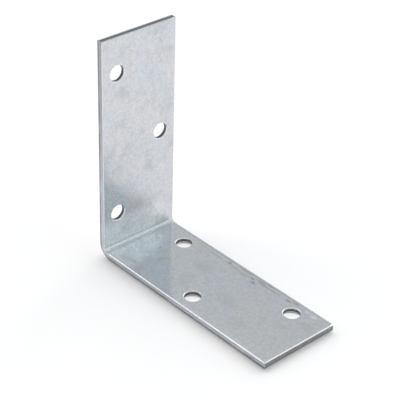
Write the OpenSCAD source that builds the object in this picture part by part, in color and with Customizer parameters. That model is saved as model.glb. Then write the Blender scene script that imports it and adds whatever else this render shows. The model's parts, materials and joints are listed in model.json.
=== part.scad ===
// Angle bracket made from one steel strip: three staggered screw holes are
// punched in each leg from the inner side and countersunk from the outer side,
// and the strip is folded square.
// The edges are rounded over on the outside of the fold and crisp on the inside.
// The base leg lies on Z = 0 and runs along X, the upright leg rises along Z,
// and the origin is the middle of the base leg's outer face.

/* [Legs] */
// Length of the leg that lies flat, from the outer heel
base_leg = 80; // [60:1:160]
// Length of the leg that stands, from the outer heel
upright_leg = 80; // [60:1:160]
// Width of the strip
strip_w = 30; // [24:1:60]
// Thickness of the strip
strip_t = 3; // [2.4:0.1:4]

/* [Fold] */
// Inside radius of the fold
fold_r = 2; // [1:0.1:4]
// How far the squeezed metal stands out of the side at the inside of the fold
fold_bulge = 0.15; // [0.05:0.05:0.3]
// Radius of the spot over which the squeezed metal stands out
bulge_spread = 1.5; // [1:0.1:2]

/* [Edges] */
// Rounding of the long edges on the outer faces
long_edge_r = 1.2; // [0.4:0.1:1.6]
// Rounding of the end edges on the outer faces
end_edge_r = 1.2; // [0.3:0.1:1.6]
// Bevel of the edges on the inner faces
inner_bevel = 0.3; // [0.1:0.05:0.4]

/* [Screw holes] */
// Diameter of a screw hole
hole_d = 5.5; // [4:0.1:7]
// Diameter of its countersink at the outer face
sink_d = 8.8; // [7.5:0.1:9.4]
// Distance of the hole nearest the fold from the outer heel
heel_margin = 16; // [14:0.5:22]
// Distance of the outermost hole from the end of its leg
end_margin = 12.5; // [8:0.5:20]
// How much nearer the heel the middle hole lies than halfway
middle_shift = 1; // [-3:0.5:3]
// Distance of every hole from its nearer long edge
side_margin = 6; // [5.5:0.5:9]
// Width of the rim that the punch rolled over round a hole
rim_w = 0.5; // [0.2:0.05:0.8]
// Depth of the rolled rim
rim_depth = 0.3; // [0.1:0.05:0.5]

/* [Hidden] */
$fn = 64;
// Overshoot of every cutting shape past the surface that it cuts
over = 0.5;
half_w = strip_w / 2;
// Outside radius of the fold, which is also where each leg's flat part starts
fold_end = fold_r + strip_t;
// Depth of a countersink, which opens at 90 degrees
sink_depth = (sink_d - hole_d) / 2;
// Radius of the sphere whose cap is the squeezed spot
bulge_ball_r = (pow(bulge_spread, 2) + pow(fold_bulge, 2)) / (2 * fold_bulge);
// Which side of the strip's middle a leg's first hole lies on
FAR_SIDE = 1;
NEAR_SIDE = -1;

// Distances of a leg's three holes from the outer heel
function hole_places(leg) = let (
    first = heel_margin,
    last = leg - end_margin
) [first, (first + last) / 2 - middle_shift, last];

// Scrap outside a rounded corner that stands at the origin, metal towards +X and +Y
module corner_scrap(r) {
    difference() {
        translate([-over, -over]) square(r + over);
        translate([r, r]) circle(r);
    }
}

// Section across the strip: width along X, outer face on Y = 0, inner face above
module strip_section() {
    difference() {
        polygon([
            [-half_w, 0], [half_w, 0],
            [half_w, strip_t - inner_bevel], [half_w - inner_bevel, strip_t],
            [inner_bevel - half_w, strip_t], [-half_w, strip_t - inner_bevel]
        ]);
        translate([-half_w, 0]) corner_scrap(long_edge_r);
        translate([half_w, 0]) mirror([1, 0]) corner_scrap(long_edge_r);
    }
}

// Side view of a flat leg: length along X, outer face on Y = 0, sheared end at the right
module leg_profile(leg) {
    difference() {
        polygon([
            [fold_end, 0], [leg, 0],
            [leg, strip_t - inner_bevel], [leg - inner_bevel, strip_t],
            [fold_end, strip_t]
        ]);
        translate([leg, 0]) mirror([1, 0]) corner_scrap(end_edge_r);
    }
}

// Punched hole through a leg: the rim that the punch rolled over on the inner face,
// a short round wall, and the countersink that opens towards the outer face
module screw_hole() {
    rim_rise = over * rim_w / rim_depth;
    translate([0, 0, -over]) cylinder(h = strip_t + 2 * over, d = hole_d);
    translate([0, 0, strip_t - rim_depth])
        cylinder(h = rim_depth + over, r1 = hole_d / 2, r2 = hole_d / 2 + rim_w + rim_rise);
    translate([0, 0, -over])
        cylinder(h = sink_depth + over, r1 = sink_d / 2 + over, r2 = hole_d / 2);
}

// Flat part of a leg with its three staggered holes, lying along +X with the inner face up
module punched_leg(leg, first_side) {
    places = hole_places(leg);
    difference() {
        intersection() {
            translate([fold_end, 0, 0]) rotate([90, 0, 90])
                linear_extrude(leg - fold_end) strip_section();
            rotate([90, 0, 0]) linear_extrude(strip_w, center = true) leg_profile(leg);
        }
        for (i = [0 : len(places) - 1]) {
            side = i % 2 == 0 ? first_side : -first_side;
            translate([places[i], side * (half_w - side_margin), 0]) screw_hole();
        }
    }
}

// Quarter turn of a section about the fold's own axis, from the upright leg to the base leg
module quarter_turn() {
    translate([fold_end, 0, fold_end]) rotate([0, 180, 0]) rotate([90, 0, 0])
        rotate_extrude(angle = 90) translate([fold_end, 0]) rotate(90) children();
}

// Metal squeezed out of the side at the inside of the fold
module squeezed_spot(side) {
    spot = fold_end - fold_r * cos(45);
    intersection() {
        translate([spot, side * (half_w + fold_bulge - bulge_ball_r), spot]) sphere(bulge_ball_r);
        quarter_turn() translate([-half_w - over, long_edge_r])
            square([strip_w + 2 * over, strip_t - long_edge_r]);
    }
}

// Folded part of the strip, between the two legs
module fold() {
    quarter_turn() strip_section();
    for (side = [NEAR_SIDE, FAR_SIDE]) squeezed_spot(side);
}

// Whole bracket
module angle_bracket() {
    color("silver") translate([-base_leg / 2, 0, 0]) {
        punched_leg(base_leg, FAR_SIDE);
        fold();
        mirror([1, 0, -1]) punched_leg(upright_leg, NEAR_SIDE);
    }
}

angle_bracket();
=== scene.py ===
"""Looks of the folded steel angle bracket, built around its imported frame.

The strip is made the way the real one is: a flat blank is laid out as a grid, its holes
are opened, it gets its thickness and its rounded edges, and then it is folded square.
"""

import json
import logging
import math
from collections.abc import Callable
from dataclasses import dataclass, field, replace
from enum import Enum

import bmesh
import bpy
from mathutils import Matrix, Vector


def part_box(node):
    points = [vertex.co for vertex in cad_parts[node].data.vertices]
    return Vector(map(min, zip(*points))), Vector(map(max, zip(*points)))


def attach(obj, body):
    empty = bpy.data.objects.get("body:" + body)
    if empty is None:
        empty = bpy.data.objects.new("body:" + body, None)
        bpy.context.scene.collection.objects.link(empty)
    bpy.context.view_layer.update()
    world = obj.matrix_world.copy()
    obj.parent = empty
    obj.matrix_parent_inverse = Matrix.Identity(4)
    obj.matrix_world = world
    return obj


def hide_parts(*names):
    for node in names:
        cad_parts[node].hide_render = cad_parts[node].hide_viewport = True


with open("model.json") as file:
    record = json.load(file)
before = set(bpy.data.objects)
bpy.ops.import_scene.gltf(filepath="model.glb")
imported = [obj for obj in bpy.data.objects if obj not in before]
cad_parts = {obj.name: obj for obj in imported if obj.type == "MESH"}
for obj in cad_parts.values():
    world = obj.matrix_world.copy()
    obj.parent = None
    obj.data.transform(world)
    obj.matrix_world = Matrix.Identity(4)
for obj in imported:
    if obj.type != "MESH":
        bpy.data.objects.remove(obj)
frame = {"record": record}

LOG = logging.getLogger("angle_bracket")
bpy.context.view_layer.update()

Socket = bpy.types.NodeSocket
Triple = tuple[float, float, float]

MM = 0.001
QUARTER = math.pi / 2
EIGHTH = QUARTER / 2
NODE = "angle_bracket"
BODY = "root"
# Thickness of the strip
THICKNESS = 3.0 * MM
# Point attribute that keeps where each point lay on the flat blank, in metres
BLANK = "blank"
# Slack when a point is compared with a face or an edge of the blank
NEAR = 0.01 * MM
# Points that lie closer than this are joined
WELD = 0.1 * NEAR
# Angle between two faces, in radians, above which their edge counts as sharp
SHARP = 1.0
# Height of a face's unit normal above which the face counts as lying flat
LYING = 0.5


class Leg(Enum):
    """The two legs, named as the mounts in the record name them."""

    BASE = "base"
    UPRIGHT = "upright"


class Face(Enum):
    """Kinds of surface on the strip; the value is the index of the material that each wears.

    Attributes:
        ROLLED: the inner and outer faces of the strip.
        SLIT: its long sides.
        SHEARED: its ends.
        PUNCHED: the holes' round walls.
        SUNK: the countersinks.
        CRISP: the inner edges of the fold and the upright leg.
        RIM: the holes' rims on the inner faces.
        WORN: the base leg's inner edges, and the outer edge of the upright leg's end; their near-white
            colour is a painted highlight.
    """

    ROLLED = 0
    SLIT = 1
    SHEARED = 2
    PUNCHED = 3
    SUNK = 4
    CRISP = 5
    RIM = 6
    WORN = 7


def bores() -> list[dict]:
    """Returns the screw holes among the record's mounts."""
    return [mount for mount in frame["record"]["mounts"] if mount["kind"] == "bore"]


def leg_of(mount: dict) -> Leg:
    """Tells which leg one of the record's mounts belongs to."""
    return Leg(mount["name"].split("_")[0])


def put_in_scene(name: str, data: bpy.types.ID) -> bpy.types.Object:
    """Makes an object and adds it to the scene.

    Args:
        name: the object's name.
        data: its mesh, lamp or camera.

    Returns:
        The object.
    """
    made = bpy.data.objects.new(name, data)
    bpy.context.scene.collection.objects.link(made)
    return made


def divide(start: float, stop: float, cell: float) -> list[float]:
    """Divides a stretch into equal cells of about the given length.

    Args:
        start: where the stretch starts.
        stop: where it stops.
        cell: the length that a cell should have.

    Returns:
        The places of the lines after start, up to and including stop.
    """
    cells = max(1, round((stop - start) / cell))
    return [start + (stop - start) * (i + 1) / cells for i in range(cells)]


@dataclass(frozen=True)
class Hole:
    """A screw hole, placed on the flat blank.

    Attributes:
        along: distance from the base leg's end, along the blank.
        across: distance from the middle of the strip.
        radius: radius of the round wall.
        sink: depth of the countersink that opens towards the outer face.
    """

    along: float
    across: float
    radius: float
    sink: float

    def reach(self, point: Vector) -> float:
        """Returns how far a point of the blank lies from the hole's axis."""
        return math.hypot(point.x - self.along, point.y - self.across)

    def on_wall(self, point: Vector) -> Vector:
        """Finds the place on the round wall for a point on the square that frames the hole.

        Args:
            point: the point on the square.

        Returns:
            The place on the wall, at the point's height.
        """
        dx, dy = point.x - self.along, point.y - self.across
        if abs(dx) >= abs(dy):
            turn = EIGHTH * dy / abs(dx)
            angle = turn if dx > 0 else math.pi - turn
        else:
            turn = EIGHTH * dx / abs(dy)
            angle = QUARTER - turn if dy > 0 else turn - QUARTER
        x = self.along + self.radius * math.cos(angle)
        y = self.across + self.radius * math.sin(angle)
        return Vector((x, y, point.z))


@dataclass(frozen=True)
class Rounding:
    """A rounding of edges of the thick, flat blank.

    Attributes:
        test: tells whether a point of the blank lies on such an edge.
        level: the edges' height above the outer face.
        radius: the rounding's radius.
        segments: how many faces make it.
        kind: kind of surface that it is; none where it goes on from the surfaces beside it.
    """

    test: Callable[[Vector], bool]
    level: float
    radius: float
    segments: int
    kind: Face | None = None


@dataclass(frozen=True)
class Fold:
    """The quarter turn between the legs; pressing leaves it sharp inside and thin at the heel.

    Attributes:
        inner_radius: radius of the turn on the inner face.
        heel_radius: radius of the turn on the outer face.
        bulge: how far the squeezed metal stands out beside the turn.
        bulge_power: power by which the bulge grows from the strip's middle to its sides.
        cells: cells of the grid along the turn.
    """

    inner_radius: float = 1.3 * MM
    heel_radius: float = 5.6 * MM
    bulge: float = 0.15 * MM
    bulge_power: int = 8
    cells: int = 28

    @property
    def inner_flat(self) -> float:
        """Length of the inner face's straight stretch before and after its own turn."""
        return self.heel_radius - THICKNESS - self.inner_radius

    @property
    def inner_length(self) -> float:
        """Length of the inner face round the fold."""
        return 2 * self.inner_flat + QUARTER * self.inner_radius

    @property
    def length(self) -> float:
        """Length of the blank that the fold uses up, midway between its outer and inner face."""
        return (QUARTER * self.heel_radius + self.inner_length) / 2

    def outer_place(self, part: float) -> Vector:
        """Finds a place on the outer face round the fold.

        Args:
            part: how far round the fold it lies, from 0 at the base leg to 1 at the upright one.

        Returns:
            Its distances from the heel along X and Z.
        """
        turn, ring = part * QUARTER, self.heel_radius
        return Vector((ring - ring * math.sin(turn), ring - ring * math.cos(turn)))

    def inner_place(self, part: float) -> Vector:
        """Finds a place on the inner face round the fold.

        Args:
            part: how far round the fold it lies, from 0 at the base leg to 1 at the upright one.

        Returns:
            Its distances from the heel along X and Z.
        """
        walk, ring = part * self.inner_length - self.inner_flat, self.inner_radius
        turn = min(max(walk / ring, 0.0), QUARTER)
        x = THICKNESS + ring - ring * math.sin(turn) + max(-walk, 0.0)
        z = THICKNESS + ring - ring * math.cos(turn) + max(walk - QUARTER * ring, 0.0)
        return Vector((x, z))

    def squeeze(self, part: float, side: float, height: float) -> float:
        """Tells how far pressing pushes a point sideways: out at the inner face, in at the heel.

        Args:
            part: how far round the fold the point lies, from 0 to 1.
            side: its place across the strip, from -1 at one side to 1 at the other.
            height: its height above the outer face.

        Returns:
            The push, positive towards +Y.
        """
        push = self.bulge * math.sin(math.pi * part) ** 2 * abs(side) ** self.bulge_power
        return math.copysign(push, side) * (2 * height / THICKNESS - 1)


@dataclass
class FoldedStrip:
    """The bracket's one piece: a punched steel strip, folded square.

    Attributes:
        rolled_edge: rounding of the edges on the outer faces.
        crisp_edge: rounding of the edges on the inner faces.
        corner_edge: rounding of the short edges at the four corners.
        punch_lip: rounding of a hole's rim on the inner face.
        patch: half the width of the square of the grid that frames a hole.
        patch_cells: cells along each side of that square.
        cell: length of the grid's other cells.
        fold: the fold between the legs.
        heel: place of the upright leg's outer face along X.
        half_width: half the width of the strip.
        base_leg: length of the base leg, from the heel.
        fold_starts: where the fold starts on the blank.
        fold_stops: where it stops.
        length: length of the blank.
        holes: the screw holes.
    """

    rolled_edge: float = 1.2 * MM
    crisp_edge: float = 0.3 * MM
    corner_edge: float = 0.25 * MM
    punch_lip: float = 0.35 * MM
    patch: float = 4.5 * MM
    patch_cells: int = 12
    cell: float = 1.5 * MM
    fold: Fold = Fold()
    heel: float = field(init=False)
    half_width: float = field(init=False)
    base_leg: float = field(init=False)
    fold_starts: float = field(init=False)
    fold_stops: float = field(init=False)
    length: float = field(init=False)
    holes: list[Hole] = field(init=False)

    def __post_init__(self) -> None:
        """Takes the strip's width, the legs' lengths and the holes from the frame."""
        low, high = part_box(NODE)
        self.heel = low.x
        self.half_width = (high.y - low.y) / 2 - self.fold.bulge
        self.base_leg = high.x - low.x
        self.fold_starts = self.base_leg - self.fold.heel_radius
        self.fold_stops = self.fold_starts + self.fold.length
        self.length = self.fold_stops + high.z - low.z - self.fold.heel_radius
        self.holes = [self.read_hole(mount) for mount in bores()]

    def read_hole(self, mount: dict) -> Hole:
        """Places one of the record's bores on the flat blank.

        Args:
            mount: the mount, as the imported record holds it.

        Returns:
            The hole on the blank.
        """
        x, y, z = mount["pos_m"]
        if leg_of(mount) is Leg.BASE:
            along, depth = self.base_leg - (x - self.heel), z
        else:
            along, depth = self.fold_stops + z - self.fold.heel_radius, x - self.heel
        wall = mount["dims"]["length_mm"] * MM
        return Hole(along, y, mount["dims"]["r_mm"] * MM, depth - wall / 2)

    def lines_along(self) -> list[float]:
        """Finds where the grid's lines cross the blank's length.

        Returns:
            The places, in rising order.
        """
        stretches = [(self.fold_starts, self.fold_stops, self.fold.cells)]
        for hole in self.holes:
            stretches.append((hole.along - self.patch, hole.along + self.patch, self.patch_cells))
        lines = [0.0]
        for start, stop, cells in sorted(stretches):
            lines += divide(lines[-1], start, self.cell)
            lines += divide(start, stop, (stop - start) / cells)
        return lines + divide(lines[-1], self.length, self.cell)

    def lines_across(self) -> list[float]:
        """Finds where the grid's lines cross the blank's width.

        Returns:
            The places, in rising order.
        """
        middle = max(hole.across for hole in self.holes)
        fine = 2 * self.patch / self.patch_cells
        lines = [-self.half_width, -middle - self.patch]
        lines += divide(lines[-1], self.patch - middle, fine)
        lines += divide(lines[-1], middle - self.patch, self.cell)
        lines += divide(lines[-1], middle + self.patch, fine)
        return lines + [self.half_width]

    def lay_out(self, bm: bmesh.types.BMesh) -> None:
        """Lays the blank out as a flat grid whose lines frame the holes and the fold.

        Args:
            bm: the mesh that receives the grid.
        """
        along, across = self.lines_along(), self.lines_across()
        columns, rows, half = len(along) - 1, len(across) - 1, 0.5
        bmesh.ops.create_grid(bm, x_segments=columns, y_segments=rows, size=half)
        for vert in bm.verts:
            column = round((vert.co.x + half) * columns)
            row = round((vert.co.y + half) * rows)
            vert.co = Vector((along[column], across[row], 0.0))

    def open_hole(self, bm: bmesh.types.BMesh, hole: Hole) -> None:
        """Cuts one round hole in the flat grid.

        Args:
            bm: the flat grid.
            hole: the hole to cut.
        """
        inside = []
        for face in bm.faces:
            centre = face.calc_center_median()
            if max(abs(centre.x - hole.along), abs(centre.y - hole.across)) < self.patch:
                inside.append(face)
        bmesh.ops.inset_region(bm, faces=inside, thickness=NEAR, use_even_offset=True)
        region = set(inside)
        for vert in {vert for face in inside for vert in face.verts}:
            if not region.issuperset(vert.link_faces):
                vert.co = hole.on_wall(vert.co)
        bmesh.ops.delete(bm, geom=inside, context="FACES")

    def thicken(self, bm: bmesh.types.BMesh) -> None:
        """Gives the flat grid its thickness and marks the kinds of its surfaces.

        Args:
            bm: the flat grid with its holes.
        """
        grown = bmesh.ops.extrude_face_region(bm, geom=list(bm.faces), use_keep_orig=True)
        raised = [item for item in grown["geom"] if isinstance(item, bmesh.types.BMVert)]
        bmesh.ops.translate(bm, verts=raised, vec=(0.0, 0.0, THICKNESS))
        bmesh.ops.recalc_face_normals(bm, faces=list(bm.faces))
        for face in bm.faces:
            face.material_index = self.kind_of(face).value

    def kind_of(self, face: bmesh.types.BMFace) -> Face:
        """Tells which kind of surface a face of the thick blank belongs to.

        Args:
            face: the face.

        Returns:
            The kind of surface.
        """
        centre = face.calc_center_median()
        if abs(face.normal.z) > LYING:
            return Face.ROLLED
        if self.on_side(centre):
            return Face.SLIT
        if self.on_end(centre):
            return Face.SHEARED
        return Face.PUNCHED

    def on_side(self, point: Vector) -> bool:
        """Tells whether a point of the blank lies on one of its long sides."""
        return abs(abs(point.y) - self.half_width) < NEAR

    def on_end(self, point: Vector) -> bool:
        """Tells whether a point of the blank lies on one of its ends."""
        return min(abs(point.x), abs(point.x - self.length)) < NEAR

    def on_outline(self, point: Vector) -> bool:
        """Tells whether a point of the blank lies on its outline."""
        return self.on_side(point) or self.on_end(point)

    def on_rim(self, point: Vector) -> bool:
        """Tells whether a point of the blank lies on the round wall of a hole."""
        return any(abs(hole.reach(point) - hole.radius) < NEAR for hole in self.holes)

    def round_edges(self, bm: bmesh.types.BMesh) -> None:
        """Rounds the outline, the holes' rims and the corners, and opens the countersinks.

        Args:
            bm: the thick blank.
        """
        for rounding in (
            Rounding(self.on_outline, 0.0, self.rolled_edge, 6),
            Rounding(self.on_outline, THICKNESS, self.crisp_edge, 3, Face.CRISP),
            Rounding(self.on_rim, THICKNESS, self.punch_lip, 5, Face.RIM),
            Rounding(self.on_rim, 0.0, self.holes[0].sink, 1, Face.SUNK),
        ):
            edges = [edge for edge in bm.edges if self.is_rounded(edge, rounding)]
            for face in self.bevel(bm, edges, rounding.radius, rounding.segments):
                self.dress(face, rounding)
        corners = [edge for edge in bm.edges if self.is_corner(edge)]
        self.bevel(bm, corners, self.corner_edge, 3)

    @staticmethod
    def is_rounded(edge: bmesh.types.BMEdge, rounding: Rounding) -> bool:
        """Tells whether a rounding covers an edge of the thick blank.

        Args:
            edge: the edge.
            rounding: the rounding.

        Returns:
            True where it does.
        """
        for vert in edge.verts:
            if abs(vert.co.z - rounding.level) >= NEAR or not rounding.test(vert.co):
                return False
        return edge.calc_face_angle(0.0) > SHARP

    def is_corner(self, edge: bmesh.types.BMEdge) -> bool:
        """Tells whether an edge runs through the strip at one of its four corners.

        Args:
            edge: the edge.

        Returns:
            True where it does.
        """
        low, high = (vert.co for vert in edge.verts)
        through = abs(low.x - high.x) < NEAR and abs(low.y - high.y) < NEAR
        return through and self.on_side(low) and self.on_end(low) and edge.calc_face_angle(0.0) > SHARP

    @staticmethod
    def bevel(bm: bmesh.types.BMesh, edges: list[bmesh.types.BMEdge], radius: float,
              segments: int) -> list[bmesh.types.BMFace]:
        """Rounds the given edges.

        Args:
            bm: the mesh that holds them.
            edges: the edges.
            radius: the rounding's radius.
            segments: how many faces make the rounding.

        Returns:
            The faces that make the rounding.
        """
        made = bmesh.ops.bevel(
            bm, geom=edges, offset=radius, offset_type="OFFSET", segments=segments,
            profile=0.5, affect="EDGES", material=-1, clamp_overlap=False,
        )
        return made["faces"]

    def dress(self, face: bmesh.types.BMFace, rounding: Rounding) -> None:
        """Sets the kind of surface of a rounding's face.

        At the upright leg's end the outer edge gets the painted highlight and the inner one has the
        coat, and the inner edges of the base leg get the painted highlight.

        Args:
            face: the face.
            rounding: the rounding that it belongs to.
        """
        kind = rounding.kind
        along = face.calc_center_median().x
        face.normal_update()
        if along > self.length - self.rolled_edge and face.normal.x > abs(face.normal.y):
            kind = Face.WORN if rounding.level == 0.0 else Face.ROLLED
        elif kind is Face.CRISP and along < self.fold_starts:
            kind = Face.WORN
        if kind is not None:
            face.material_index = kind.value

    def fold_square(self, bm: bmesh.types.BMesh) -> None:
        """Folds the blank square and keeps where each point lay on it.

        Args:
            bm: the finished flat blank, outer face down.
        """
        flat = bm.verts.layers.float_vector.new(BLANK)
        for vert in bm.verts:
            vert[flat] = vert.co
            along, across, height = vert.co
            part = min(max((along - self.fold_starts) / self.fold.length, 0.0), 1.0)
            inner = self.fold.inner_place(part)
            place = self.fold.outer_place(part).lerp(inner, height / THICKNESS)
            x = self.heel + place.x + max(self.fold_starts - along, 0.0)
            y = across + self.fold.squeeze(part, across / self.half_width, height)
            z = place.y + max(along - self.fold_stops, 0.0)
            vert.co = Vector((x, y, z))

    def build(self) -> bpy.types.Object:
        """Builds the piece, without its materials.

        Returns:
            The object.
        """
        bm = bmesh.new()
        self.lay_out(bm)
        for hole in self.holes:
            self.open_hole(bm, hole)
        self.thicken(bm)
        self.round_edges(bm)
        self.fold_square(bm)
        bmesh.ops.remove_doubles(bm, verts=list(bm.verts), dist=WELD)
        for face in bm.faces:
            face.smooth = True
        mesh = bpy.data.meshes.new("folded_strip")
        bm.to_mesh(mesh)
        bm.free()
        piece = put_in_scene("folded_strip", mesh)
        piece.modifiers.new("weighted_normals", "WEIGHTED_NORMAL")
        return piece


@dataclass(frozen=True)
class Pattern:
    """A random pattern in the metal.

    Attributes:
        size: size of its patches.
        detail: how many finer layers it has.
        roughness: how strong the finer layers are.
        low: value of the noise up to which a point lies outside the patches.
        high: value from which it lies inside them.
    """

    size: float
    detail: float = 2.0
    roughness: float = 0.5
    low: float = 0.3
    high: float = 0.7


# Patches of a finish's two colours; each finish sets their size
PATCHES = Pattern(1.0, 4.0, 0.6, 0.36, 0.64)
GRAIN = Pattern(0.9 * MM, 3.0, 0.65)
STAINS = Pattern(5.0 * MM, 5.0, 0.65, 0.48, 0.74)
CLOUDS = Pattern(5.0 * MM, 4.0, 0.6, 0.35, 0.65)
RELIEF = Pattern(1.6 * MM, 3.0, 0.55)
WAVES = Pattern(11.0 * MM, 1.0, 0.4)
WANDER = Pattern(1.2 * MM)
# How far the edge of a band wanders through the strip, as a share of its thickness
WANDER_BY = 0.07
# Share of its colour that the metal keeps in the dark of its grain
GRAIN_DARK = 0.6

# Near white: a nick's bare metal near the base leg's end, and a painted highlight at the near end of
# the fold
NICK_AND_HIGHLIGHT = (0.95, 0.95, 0.95)
SPECK = (0.3, 0.29, 0.28)
STAIN = (0.4, 0.4, 0.42)
# Painted shade in the fold's crease
CREASE_SHADE = (0.66, 0.67, 0.7)
SCUFF = (0.52, 0.53, 0.53)
BRIGHT = (0.8, 0.82, 0.85)
# Painted sheen just above the fold
FOLD_SHEEN = (0.94, 0.96, 0.98)
# Darker colour for the long sides
SIDE_DARKENING = (0.36, 0.37, 0.39)
# Painted shade for the upright leg's end
END_SHADE = (0.2, 0.2, 0.2)
GREENISH = (0.36, 0.40, 0.42)
WHITE = (1.0, 1.0, 1.0)
# Width of a mark that covers the strip evenly from side to side, in millimetres
ALL_ACROSS = 90.0
# Shares of a mark's half size at which it starts to fade, and at which it is gone
MARK_FADES = (0.4, 1.2)
# Stretch of the blank over which the scouring of the upright leg starts
SCOURED_FROM = (76 * MM, 84 * MM)
# Stretches over which the rubbed metal just above the fold starts and stops
RUBBED_FROM = (78 * MM, 81 * MM)
RUBBED_TO = (86 * MM, 96 * MM)


@dataclass(frozen=True)
class Mark:
    """A mark on the metal, such as a nick, a scuff and a speck of dirt, and also painted light and
    shade; sizes in millimetres.

    It is at its strongest on the inner face and has nearly gone at the outer one.

    Attributes:
        along: distance of its middle from the base leg's end, along the blank.
        across: distance of its middle from the middle of the strip.
        length: its length along the blank.
        width: its width across the blank.
        colour: the metal's colour at its middle, linear.
        strength: how much it covers what lies below it.
    """

    along: float
    across: float
    length: float
    width: float
    colour: Triple
    strength: float = 1.0


INNER_MARKS = (
    # Painted sheen just above the fold, and a painted shade line in the fold's crease
    Mark(83.5, 2.5, 14.0, 22.0, FOLD_SHEEN),
    Mark(83.5, -9.5, 14.0, 24.0, FOLD_SHEEN),
    Mark(78.2, 0.0, 3.0, ALL_ACROSS, CREASE_SHADE),
    # Bright nick near the base leg's end
    Mark(8.5, 13.0, 6.0, 1.0, BRIGHT),
    Mark(6.2, 12.7, 3.0, 1.6, NICK_AND_HIGHLIGHT),
    # Scuffs and stains along the base leg's far edge
    Mark(40.0, 14.0, 80.0, 0.5, SCUFF),
    Mark(38.5, 13.7, 7.0, 1.4, SCUFF),
    Mark(30.5, 13.2, 5.0, 1.5, SCUFF),
    Mark(34.0, 12.3, 2.4, 1.0, STAIN),
    Mark(27.0, 13.9, 4.0, 0.8, STAIN),
    Mark(45.6, 13.9, 5.0, 0.8, SCUFF),
    Mark(17.6, 12.7, 2.8, 1.3, STAIN, 0.8),
    Mark(14.9, 13.4, 3.4, 0.9, STAIN, 0.7),
    Mark(24.0, 12.6, 6.0, 0.7, SCUFF),
    Mark(28.6, 12.4, 7.0, 0.9, STAIN, 0.7),
    Mark(32.4, 10.9, 2.4, 1.8, STAIN, 0.7),
    Mark(37.7, 11.7, 6.0, 1.8, SCUFF, 0.6),
    Mark(42.0, 12.2, 5.0, 0.8, SCUFF),
    Mark(45.4, 12.5, 2.6, 1.1, STAIN, 0.8),
    Mark(51.6, 12.3, 10.0, 0.8, SCUFF, 0.8),
    Mark(58.0, 12.8, 7.0, 0.7, SCUFF, 0.7),
    # Faint scuffs on the rest of the base leg
    Mark(49.2, 4.3, 9.0, 6.0, SCUFF, 0.4),
    Mark(48.1, -4.1, 6.0, 8.0, SCUFF, 0.3),
    Mark(30.9, -2.2, 10.0, 6.0, SCUFF, 0.35),
    Mark(20.0, -8.0, 8.0, 6.0, SCUFF, 0.3),
    Mark(4.2, 7.5, 6.0, 4.0, SCUFF, 0.4),
    Mark(66.5, -11.0, 4.0, 2.0, SCUFF),
    # Specks of dirt, and a painted highlight on the squeezed metal at the near end of the fold
    Mark(45.1, 12.9, 0.9, 0.7, SPECK),
    Mark(32.0, 11.0, 0.8, 0.6, SPECK),
    Mark(66.9, 0.9, 1.2, 0.8, STAIN),
    Mark(77.2, 14.6, 1.0, 0.7, SPECK),
    Mark(77.4, -14.0, 0.9, 2.2, NICK_AND_HIGHLIGHT),
)
# The long sides darker, strongest at the upright leg's end and gone at the fold
SIDE_MARKS = (Mark(155.0, 0.0, 130.0, ALL_ACROSS, SIDE_DARKENING, 0.95),)
# Painted shade on the upright leg's end, standing for the dark that it mirrors
END_MARKS = (Mark(155.0, 0.0, 30.0, ALL_ACROSS, END_SHADE, 0.8),)


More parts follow.
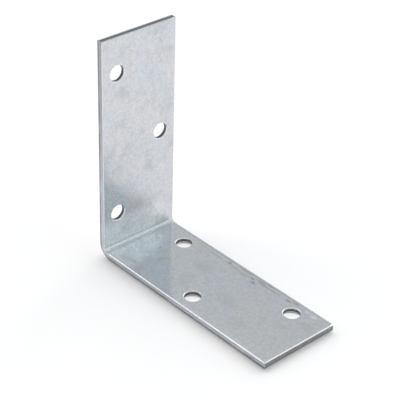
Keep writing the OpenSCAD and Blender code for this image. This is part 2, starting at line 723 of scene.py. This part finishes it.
class NodeGraph:
    """Writes a material's or a world's nodes in short lines.

    A value or a colour is given as a number or a tuple, or as another node's output.
    """

    def __init__(self, tree: bpy.types.NodeTree) -> None:
        """Empties the tree.

        Args:
            tree: the node tree to write.
        """
        self.tree = tree
        tree.nodes.clear()

    def feed(self, socket: Socket, value: object) -> None:
        """Sets an input.

        Args:
            socket: the input.
            value: its value, or the output that is joined to it.
        """
        if isinstance(value, Socket):
            self.tree.links.new(value, socket)
        elif socket.type == "RGBA":
            socket.default_value = (*value, 1.0)
        else:
            socket.default_value = value

    def add(self, kind: str, *values: object, **named: object) -> bpy.types.Node:
        """Adds a node, and sets its properties and its inputs.

        Args:
            kind: the node's type.
            values: its first inputs, in order.
            named: properties by their names, and inputs by theirs, with spaces as underscores.

        Returns:
            The node.
        """
        node = self.tree.nodes.new(kind)
        for name, value in named.items():
            if hasattr(node, name):
                setattr(node, name, value)
            else:
                self.feed(node.inputs[name.replace("_", " ")], value)
        for socket, value in zip(node.inputs, values):
            self.feed(socket, value)
        return node

    def combine(self, operation: str, first: object, second: object) -> Socket:
        """Works one value out from two.

        Args:
            operation: the operation, by Blender's name for it.
            first: the first value.
            second: the second one.

        Returns:
            The result.
        """
        return self.add("ShaderNodeMath", first, second, operation=operation).outputs["Value"]

    def both(self, first: Socket, second: Socket) -> Socket:
        """Adds the light of two shaders."""
        return self.add("ShaderNodeAddShader", first, second).outputs["Shader"]

    def mix(self, factor: object, first: object, second: object, blend: str = "MIX") -> Socket:
        """Mixes two colours.

        Args:
            factor: how much of the second there is.
            first: the first colour.
            second: the second one.
            blend: the way of mixing, by Blender's name for it.

        Returns:
            The mixed colour.
        """
        node = self.add("ShaderNodeMix", factor, data_type="RGBA", blend_type=blend)
        shown = [socket for socket in node.inputs if socket.type == "RGBA"]
        for socket, colour in zip(shown, (first, second)):
            self.feed(socket, colour)
        return next(socket for socket in node.outputs if socket.type == "RGBA")

    def ramp(self, value: Socket, low: float, high: float, to_low: object, to_high: object) -> Socket:
        """Maps a value from one range to another, smoothly at both ends.

        Args:
            value: the value.
            low: the start of its range.
            high: the end of its range.
            to_low: what the start becomes.
            to_high: what the end becomes.

        Returns:
            The mapped value.
        """
        node = self.add(
            "ShaderNodeMapRange", value, low, high, to_low, to_high, interpolation_type="SMOOTHSTEP",
        )
        return node.outputs["Result"]

    def blank_place(self) -> Socket:
        """Reads where a point lay on the flat blank, in metres."""
        return self.add("ShaderNodeAttribute", attribute_name=BLANK).outputs["Vector"]

    def blank_measure(self, axis: str) -> Socket:
        """Reads one part of that place: X along the blank, Y across it or Z through it."""
        return self.add("ShaderNodeSeparateXYZ", self.blank_place()).outputs[axis]

    def stretched_place(self, stretch: Triple) -> Socket:
        """Reads that place, multiplied along, across and through the strip."""
        return self.add("ShaderNodeMapping", Vector=self.blank_place(), Scale=stretch).outputs["Vector"]

    def noise(self, place: Socket, pattern: Pattern) -> Socket:
        """Adds a random pattern.

        Args:
            place: the coordinates that it follows.
            pattern: the pattern.

        Returns:
            The noise's value.
        """
        node = self.add(
            "ShaderNodeTexNoise", Vector=place, Scale=1 / pattern.size,
            Detail=pattern.detail, Roughness=pattern.roughness,
        )
        return node.outputs["Fac"]

    def patches(self, place: Socket, pattern: Pattern, outside: float, inside: float) -> Socket:
        """Adds a random pattern with a value outside its patches and another inside them.

        Args:
            place: the coordinates that it follows.
            pattern: the pattern.
            outside: the value outside the patches.
            inside: the value inside them.

        Returns:
            The value.
        """
        return self.ramp(self.noise(place, pattern), pattern.low, pattern.high, outside, inside)

    def level_through(self, place: Socket) -> Socket:
        """Reads how high through the strip a point lies, with an uneven edge.

        Args:
            place: the coordinates that the unevenness follows.

        Returns:
            The height, from 0 at the outer face to 1 at the inner one.
        """
        share = self.combine("MULTIPLY", self.blank_measure("Z"), 1 / THICKNESS)
        return self.combine("ADD", share, self.patches(place, WANDER, -WANDER_BY, WANDER_BY))

    def shade(self, colour: Socket, value: Socket, stops: tuple[tuple[float, float], ...]) -> Socket:
        """Darkens a colour by a value.

        Args:
            colour: the colour.
            value: the value that chooses the shade.
            stops: values in rising order, and the shade at each.

        Returns:
            The darkened colour.
        """
        ramp = self.add("ShaderNodeValToRGB", value)
        elements = ramp.color_ramp.elements
        elements.remove(elements[1])
        elements[0].position = stops[0][0]
        for level, _ in stops[1:]:
            elements.new(level)
        for element, (_, dark) in zip(elements, stops):
            element.color = (dark, dark, dark, 1.0)
        return self.mix(1.0, colour, ramp.outputs["Color"], "MULTIPLY")

    def mark(self, mark: Mark) -> Socket:
        """Tells how strongly a point lies in a mark.

        Args:
            mark: the mark.

        Returns:
            The strength, from 0 outside the mark to its own strength at its middle.
        """
        middle = (mark.along * MM, mark.across * MM, THICKNESS)
        sizes = (2 / (mark.length * MM), 2 / (mark.width * MM), 1 / THICKNESS)
        away = self.add("ShaderNodeVectorMath", self.blank_place(), middle, operation="SUBTRACT")
        away = self.add("ShaderNodeVectorMath", away.outputs["Vector"], sizes, operation="MULTIPLY")
        away = self.add("ShaderNodeVectorMath", away.outputs["Vector"], operation="LENGTH")
        return self.ramp(away.outputs["Value"], *MARK_FADES, mark.strength, 0.0)

    def bump(self, height: Socket, depth: float, below: Socket | None = None) -> Socket:
        """Makes a surface uneven.

        Args:
            height: the unevenness, from 0 to 1.
            depth: how far it reaches, in metres.
            below: another bump's output, on which this one lies.

        Returns:
            The bent normals.
        """
        node = self.add("ShaderNodeBump", Height=height, Strength=1.0, Distance=depth)
        if below is not None:
            self.feed(node.inputs["Normal"], below)
        return node.outputs["Normal"]


@dataclass(frozen=True)
class Steel:
    """A steel surface of the strip.

    Attributes:
        name: the material's name.
        cool: colour of the bluish patches, linear.
        warm: colour of the warmer patches, linear.
        patch: size of the patches.
        grain: how much the fine grain darkens it.
        gloss: lowest and highest roughness.
        relief: height of the fine unevenness.
        stain: how much the dull stains cover it.
        wave: height of the long, shallow waves.
        stretch: how much finer the patterns are along, across and through the strip.
        bands: height through the strip, as a share of it, and the metal's shade there.
        marks: the marks on it.
        scoured: how much rougher it is on the upright leg than on the base leg.
    """

    name: str
    cool: Triple
    warm: Triple
    patch: float
    grain: float
    gloss: tuple[float, float]
    relief: float
    stain: float = 0.0
    wave: float = 0.0
    stretch: Triple = (1.0, 1.0, 1.0)
    bands: tuple[tuple[float, float], ...] = ()
    marks: tuple[Mark, ...] = ()
    scoured: float = 0.0

    def colour(self, graph: NodeGraph, place: Socket) -> Socket:
        """Mixes the metal's colour from its patches, marks, grain, stains and bands.

        Args:
            graph: the material's nodes.
            place: the coordinates that the patterns follow.

        Returns:
            The colour.
        """
        patches = graph.patches(place, replace(PATCHES, size=self.patch), 0.0, 1.0)
        colour = graph.mix(patches, self.cool, self.warm)
        for mark in self.marks:
            colour = graph.mix(graph.mark(mark), colour, mark.colour)
        dark = tuple(GRAIN_DARK * value for value in self.cool)
        colour = graph.mix(graph.patches(place, GRAIN, 0.0, self.grain), colour, dark)
        if self.stain:
            colour = graph.mix(graph.patches(place, STAINS, 0.0, self.stain), colour, GREENISH)
        if self.bands:
            colour = graph.shade(colour, graph.level_through(place), self.bands)
        return colour

    def roughness(self, graph: NodeGraph, place: Socket) -> Socket:
        """Tells how rough the metal is, with the scouring of the upright leg.

        The metal just above the fold is rubbed too, which makes it rougher once more.

        Args:
            graph: the material's nodes.
            place: the coordinates that the patterns follow.

        Returns:
            The roughness.
        """
        rough = graph.patches(place, CLOUDS, *self.gloss)
        if self.scoured:
            along = graph.blank_measure("X")
            rough = graph.combine("ADD", rough, graph.ramp(along, *SCOURED_FROM, 0.0, self.scoured))
            rubbed = graph.ramp(along, *RUBBED_TO, self.scoured, 0.0)
            rough = graph.combine("ADD", rough, graph.ramp(along, *RUBBED_FROM, 0.0, rubbed))
        return rough

    def unevenness(self, graph: NodeGraph, place: Socket) -> Socket:
        """Bends the normals by the fine unevenness, and by the long waves where it has them.

        Args:
            graph: the material's nodes.
            place: the coordinates that the patterns follow.

        Returns:
            The bent normals.
        """
        normal = graph.bump(graph.noise(place, RELIEF), self.relief)
        if self.wave:
            normal = graph.bump(graph.noise(place, WAVES), self.wave, normal)
        return normal

    def make(self) -> bpy.types.Material:
        """Builds the material.

        Returns:
            The material.
        """
        material = bpy.data.materials.new(self.name)
        material.use_nodes = True
        graph = NodeGraph(material.node_tree)
        place = graph.stretched_place(self.stretch)
        surface = graph.add(
            "ShaderNodeBsdfPrincipled", Base_Color=self.colour(graph, place), Metallic=1.0,
            Roughness=self.roughness(graph, place), Normal=self.unevenness(graph, place),
        )
        graph.add("ShaderNodeOutputMaterial", Surface=surface.outputs["BSDF"])
        return material


FINISHES = {
    Face.ROLLED: Steel(
        name="zinc_coat", cool=(0.67, 0.695, 0.745), warm=(0.705, 0.70, 0.715), patch=7 * MM,
        grain=0.34, gloss=(0.08, 0.18), relief=0.006 * MM, stain=0.32, wave=0.02 * MM,
        marks=INNER_MARKS, scoured=0.12,
    ),
    Face.SLIT: Steel(
        name="slit_side", cool=(0.6, 0.63, 0.68), warm=(0.5, 0.525, 0.57), patch=2.5 * MM,
        grain=0.4, gloss=(0.22, 0.34), relief=0.01 * MM, stretch=(0.2, 1.0, 2.0),
        # Darker towards the outer face: a little from the cut's rough lower zone, the rest painted
        # shade of the floor's contact shadow
        bands=(
            (0.0, 0.22), (0.2, 0.32), (0.4, 0.54), (0.55, 1.0), (0.78, 1.0), (0.84, 0.85), (1.0, 0.85),
        ),
        marks=SIDE_MARKS,
    ),
    Face.SHEARED: Steel(
        name="sheared_end", cool=(0.31, 0.31, 0.31), warm=(0.26, 0.26, 0.26), patch=1.5 * MM,
        grain=0.3, gloss=(0.4, 0.55), relief=0.02 * MM, stretch=(1.0, 1.0, 0.6),
        bands=((0.0, 0.6), (0.3, 1.0)), marks=END_MARKS,
    ),
    # Sheared steel, painted much darker than the ends as shade inside the holes
    Face.PUNCHED: Steel(
        name="punched_wall", cool=(0.13, 0.13, 0.14), warm=(0.1, 0.1, 0.11), patch=1.5 * MM,
        grain=0.3, gloss=(0.35, 0.5), relief=0.01 * MM, stretch=(1.0, 1.0, 0.5),
    ),
    Face.SUNK: Steel(
        name="countersink", cool=(0.62, 0.63, 0.65), warm=(0.58, 0.58, 0.59), patch=3 * MM,
        grain=0.2, gloss=(0.25, 0.35), relief=0.005 * MM,
    ),
    # Brighter than the coat: the edge's zinc with a painted highlight on top
    Face.CRISP: Steel(
        name="crisp_edge", cool=(0.75, 0.76, 0.79), warm=(0.69, 0.69, 0.71), patch=2 * MM,
        grain=0.1, gloss=(0.15, 0.25), relief=0.003 * MM,
    ),
    # Brighter than the coat: the rim's rolled zinc with a painted highlight on top
    Face.RIM: Steel(
        name="rolled_rim", cool=(0.82, 0.83, 0.86), warm=(0.77, 0.77, 0.79), patch=2 * MM,
        grain=0.1, gloss=(0.15, 0.25), relief=0.003 * MM,
    ),
    # Near white: a painted highlight on these edges, not the metal's own colour
    Face.WORN: Steel(
        name="worn_edge", cool=(0.97, 0.97, 0.98), warm=(0.92, 0.92, 0.93), patch=2 * MM,
        grain=0.05, gloss=(0.15, 0.25), relief=0.003 * MM,
    ),
}


@dataclass(frozen=True)
class PhotoView:
    """The camera at the photograph's viewing angle.

    Attributes:
        azimuth: turn of the view about Z in degrees; 0 looks along +Y.
        elevation: height of the view above the floor in degrees.
        roll: turn of the picture in degrees.
        distance: distance from the aim to the camera.
        aim: point on the view's middle line.
        lens: focal length in millimetres.
        frame_width: width of the picture behind the lens in millimetres.
    """

    azimuth: float = 47.34
    elevation: float = 32.21
    roll: float = 1.73
    distance: float = 467.1 * MM
    aim: Triple = (-25.0 * MM, 16.61 * MM, 16.5 * MM)
    lens: float = 124.9
    frame_width: float = 36.0

    def place(self) -> None:
        """Adds the camera to the scene and looks through it."""
        turn, rise, roll = (math.radians(angle) for angle in (self.azimuth, self.elevation, self.roll))
        upright = Matrix.Rotation(turn, 4, "Z") @ Matrix.Rotation(QUARTER - rise, 4, "X")
        aimed = Matrix.Translation(self.aim) @ upright @ Matrix.Rotation(roll, 4, "Z")
        data = bpy.data.cameras.new("photo_view")
        data.lens = self.lens
        data.sensor_width = self.frame_width
        camera = put_in_scene("photo_view", data)
        camera.matrix_world = aimed @ Matrix.Translation((0.0, 0.0, self.distance))
        bpy.context.scene.camera = camera


@dataclass(frozen=True)
class Glow:
    """A soft bright part of the surroundings.

    Attributes:
        axis: direction of its middle.
        edge: angle from the middle at which it has faded out, in degrees.
        core: angle up to which it is at its full strength, in degrees.
        gain: how much light it adds.
        tint: its colour.
        mirrored: whether only metal shows it, and the floor gets no light from it.
    """

    axis: Triple
    edge: float
    core: float
    gain: float
    tint: Triple = WHITE
    mirrored: bool = False


@dataclass(frozen=True)
class Lamp:
    """A soft lamp that metal doesn't mirror.

    Attributes:
        axis: direction that its light comes from.
        width: its width as seen from the floor, in degrees.
        strength: how strong it is.
        tint: its colour.
    """

    axis: Triple
    width: float
    strength: float
    tint: Triple = (1.0, 0.95, 0.97)

    def hang(self) -> None:
        """Adds the lamp to the scene."""
        data = bpy.data.lights.new("soft_lamp", "SUN")
        data.energy = self.strength
        data.color = self.tint
        data.angle = math.radians(self.width)
        lamp = put_in_scene("soft_lamp", data)
        lamp.rotation_euler = Vector(self.axis).to_track_quat("Z", "Y").to_euler()
        lamp.visible_glossy = False


@dataclass(frozen=True)
class Studio:
    """A pale floor under plain soft light.

    Attributes:
        floor_size: side of the floor.
        floor_grey: brightness of the floor's paint, linear.
        floor_glow: strength of the paint's own glow, for the eye and in mirrors.
        hole_glow: what is added to it under the open holes of the base leg.
        hole_core: how far that reaches in full from a hole's axis.
        hole_edge: how far it reaches at all.
        lamps: the soft lamps.
        sky_dim: strength of the surroundings where no glow reaches.
        glows: the soft bright parts of the surroundings.
    """

    floor_size: float = 6.0
    floor_grey: float = 0.88
    floor_glow: float = 0.14
    hole_glow: float = 0.45
    hole_core: float = 3.6 * MM
    hole_edge: float = 4.4 * MM
    lamps: tuple[Lamp, ...] = (
        Lamp((-0.07, 0.85, 0.53), 40.0, 0.3),
        Lamp((-0.54, 0.18, 0.82), 75.0, 0.9),
    )
    sky_dim: float = 0.325
    glows: tuple[Glow, ...] = (
        Glow((-0.13, 0.85, 0.51), 25.0, 7.0, 1.194),
        Glow((0.57, 0.76, 0.3), 63.1, 7.0, 0.62, (0.86, 1.02, 1.02)),
        Glow((-0.4, 0.06, 0.92), 37.7, 7.0, 0.646),
        Glow((-0.73, -0.48, 0.48), 24.0, 7.0, 1.2),
        Glow((-0.72, 0.64, 0.29), 67.9, 7.0, 0.37, (0.92, 1.0, 1.02)),
        Glow((0.35, -0.9, 0.25), 75.0, 15.0, 0.45, mirrored=True),
        Glow((0.98, -0.05, 0.18), 40.0, 10.0, 0.45, mirrored=True),
    )

    def lay_floor(self) -> None:
        bm = bmesh.new()
        bmesh.ops.create_grid(bm, x_segments=1, y_segments=1, size=self.floor_size / 2)
        mesh = bpy.data.meshes.new("floor")
        bm.to_mesh(mesh)
        bm.free()
        mesh.materials.append(self.floor_paint())
        floor = put_in_scene("floor", mesh)

    def floor_paint(self) -> bpy.types.Material:
        """Makes the floor's paint, which glows a little for the eye and in mirrors.

        Returns:
            The material.
        """
        material = bpy.data.materials.new("pale_floor")
        material.use_nodes = True
        graph = NodeGraph(material.node_tree)
        paint = graph.add("ShaderNodeBsdfDiffuse", Color=(self.floor_grey,) * 3)
        ray = graph.add("ShaderNodeLightPath").outputs
        seen = graph.combine("MAXIMUM", ray["Is Camera Ray"], ray["Is Glossy Ray"])
        level = graph.combine("MULTIPLY", seen, self.floor_level(graph))
        glow = graph.add("ShaderNodeEmission", Color=WHITE, Strength=level)
        both = graph.both(paint.outputs["BSDF"], glow.outputs["Emission"])
        graph.add("ShaderNodeOutputMaterial", Surface=both)
        return material

    def floor_level(self, graph: NodeGraph) -> Socket:
        """Tells how strongly the floor's paint glows at each point.

        Args:
            graph: the floor's material.

        Returns:
            The strength.
        """
        place = graph.add("ShaderNodeTexCoord").outputs["Object"]
        level = self.floor_glow
        for mount in bores():
            if leg_of(mount) is not Leg.BASE:
                continue
            x, y, _ = mount["pos_m"]
            node = graph.add("ShaderNodeVectorMath", place, (x, y, 0.0), operation="DISTANCE")
            away = node.outputs["Value"]
            light = graph.ramp(away, self.hole_core, self.hole_edge, self.hole_glow, 0.0)
            level = graph.combine("ADD", level, light)
        return level

    def light_sky(self) -> None:
        """Lights the surroundings: dim all round, with the soft bright parts on top.

        The eye sees plain white instead, as in the photograph.
        """
        world = bpy.data.worlds.new("studio")
        world.use_nodes = True
        graph = NodeGraph(world.node_tree)
        ray = graph.add("ShaderNodeLightPath").outputs
        look = graph.add("ShaderNodeTexCoord").outputs["Generated"]
        total = graph.add("ShaderNodeBackground", WHITE, self.sky_dim).outputs["Background"]
        for glow in self.glows:
            axis = Vector(glow.axis).normalized()
            side = graph.add("ShaderNodeVectorMath", look, axis, operation="DOT_PRODUCT")
            edge, core = (math.cos(math.radians(angle)) for angle in (glow.edge, glow.core))
            strength = graph.ramp(side.outputs["Value"], edge, core, 0.0, glow.gain)
            if glow.mirrored:
                strength = graph.combine("MULTIPLY", strength, ray["Is Glossy Ray"])
            light = graph.add("ShaderNodeBackground", glow.tint, strength)
            total = graph.both(total, light.outputs["Background"])
        plain = graph.add("ShaderNodeBackground", WHITE, 1.0).outputs["Background"]
        seen = graph.add("ShaderNodeMixShader", ray["Is Camera Ray"], total, plain)
        graph.add("ShaderNodeOutputWorld", Surface=seen.outputs["Shader"])
        bpy.context.scene.world = world


def main() -> None:
    """Builds the bracket, the studio and the camera."""
    logging.basicConfig(level=logging.INFO, format="%(name)s: %(message)s")
    bpy.context.scene.view_settings.view_transform = "Standard"
    piece = FoldedStrip().build()
    for kind in Face:
        piece.data.materials.append(FINISHES[kind].make())
    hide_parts(NODE)
    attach(piece, BODY)
    LOG.info("%s: %d faces", piece.name, len(piece.data.polygons))
    studio = Studio()
    studio.lay_floor()
    studio.light_sky()
    for lamp in studio.lamps:
        lamp.hang()
    PhotoView().place()


if __name__ == "__main__":
    main()
